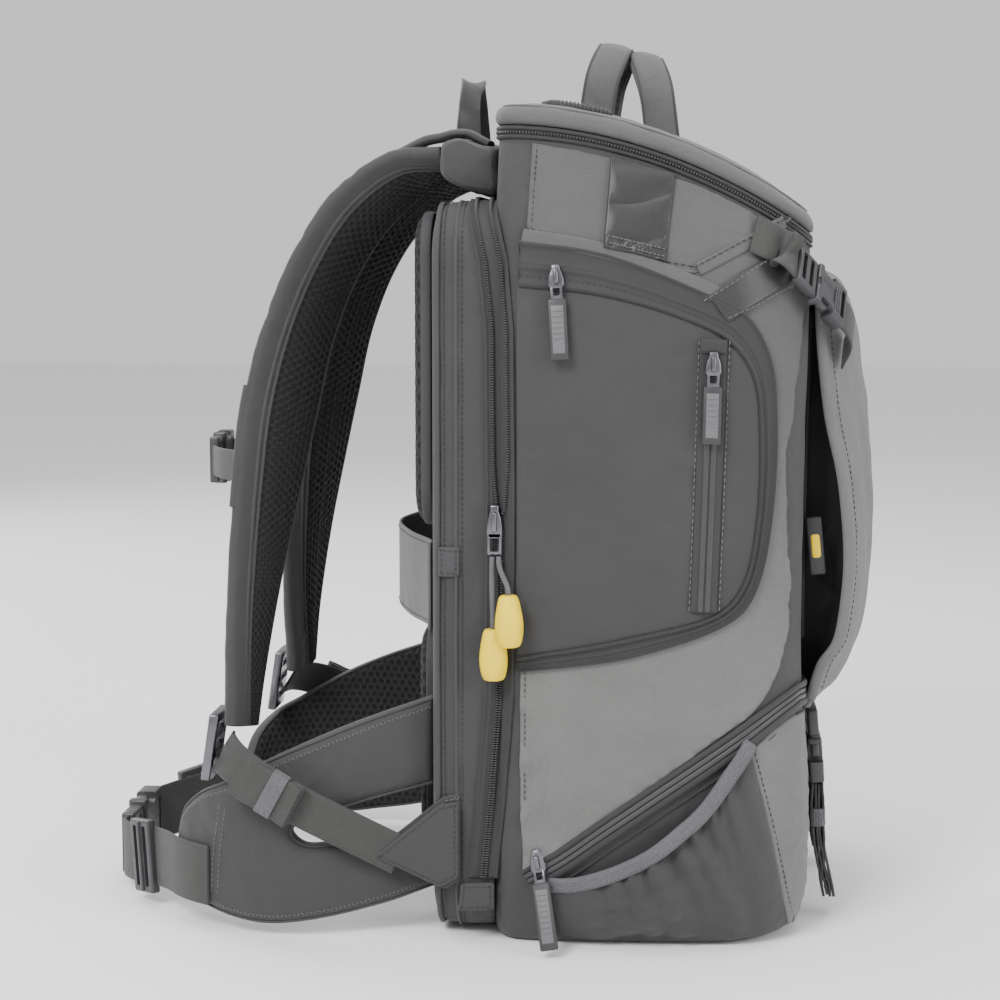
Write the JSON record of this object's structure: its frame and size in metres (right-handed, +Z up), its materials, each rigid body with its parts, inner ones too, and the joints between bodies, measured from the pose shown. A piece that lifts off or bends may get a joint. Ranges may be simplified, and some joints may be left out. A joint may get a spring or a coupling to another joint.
{
  "type": "camera backpack",
  "caption": "Padded camera backpack standing on its base, with a zipped rear section, side doors, stretch pockets, a buckled front flap, a top handle, shoulder straps and a hip belt.",
  "frame": {"origin": "on the floor, under the middle of the bag's box without its zip cords", "axes": "+X to the front of the bag, away from the wearer's back; -Y to the bag's left side, as worn; +Z up"},
  "size_m": [0.4934, 0.3411, 0.5493],
  "materials": {
    "dark_cloth": "dark grey woven nylon, matt",
    "light_cloth": "light grey woven nylon, matt",
    "zip_tape": "dark grey zip tape with nylon coils",
    "spacer_mesh": "black knitted spacer mesh",
    "webbing": "dark warm grey woven webbing",
    "buckle_plastic": "dark grey moulded plastic",
    "metal": "grey painted and bare metal",
    "toggle_plastic": "soft yellow plastic"
  },
  "bodies": {
    "root": {"main_shell": "dark_cloth", "rear_section": "dark_cloth", "side_door_left": "dark_cloth", "side_door_right": "dark_cloth", "stretch_pocket_left": "dark_cloth", "stretch_pocket_right": "dark_cloth", "shoulder_strap_left": "dark_cloth", "shoulder_strap_right": "dark_cloth", "strap_yoke": "dark_cloth", "hip_wing_left": "dark_cloth", "hip_wing_right": "dark_cloth", "corner_tab_left": "dark_cloth", "corner_tab_right": "dark_cloth", "door_pull_left": "dark_cloth", "door_pull_right": "dark_cloth", "low_pull_left": "dark_cloth", "low_pull_right": "dark_cloth", "main_zip": "zip_tape", "lid_zip": "zip_tape", "door_zip_left": "zip_tape", "door_zip_right": "zip_tape", "top_lid": "light_cloth", "top_handle": "light_cloth", "front_flap": "light_cloth", "luggage_sleeve": "light_cloth", "zip_cord_1": "light_cloth", "zip_cord_2": "light_cloth", "flap_buckle_left": "buckle_plastic", "flap_buckle_right": "buckle_plastic", "front_buckle_left": "buckle_plastic", "front_buckle_right": "buckle_plastic", "chest_buckle": "buckle_plastic", "belt_buckle": "buckle_plastic", "flap_strap_left": "webbing", "flap_strap_right": "webbing", "flap_tab_left": "webbing", "flap_tab_right": "webbing", "front_strap_left": "webbing", "front_strap_right": "webbing", "front_tail_left": "webbing", "front_tail_right": "webbing", "haul_loop": "webbing", "load_lifter_left": "webbing", "load_lifter_right": "webbing", "chest_strap_left": "webbing", "chest_strap_right": "webbing", "belt_webbing_left": "webbing", "belt_webbing_right": "webbing", "lower_strap_left": "webbing", "lower_strap_right": "webbing", "strap_tail_left": "webbing", "strap_tail_right": "webbing", "back_pad_left": "spacer_mesh", "back_pad_right": "spacer_mesh", "lumbar_pad": "spacer_mesh", "ladder_lock_left": "metal", "ladder_lock_right": "metal", "main_slider": "metal", "toggle_1": "toggle_plastic", "toggle_2": "toggle_plastic"}
  },
  "joints": []
}
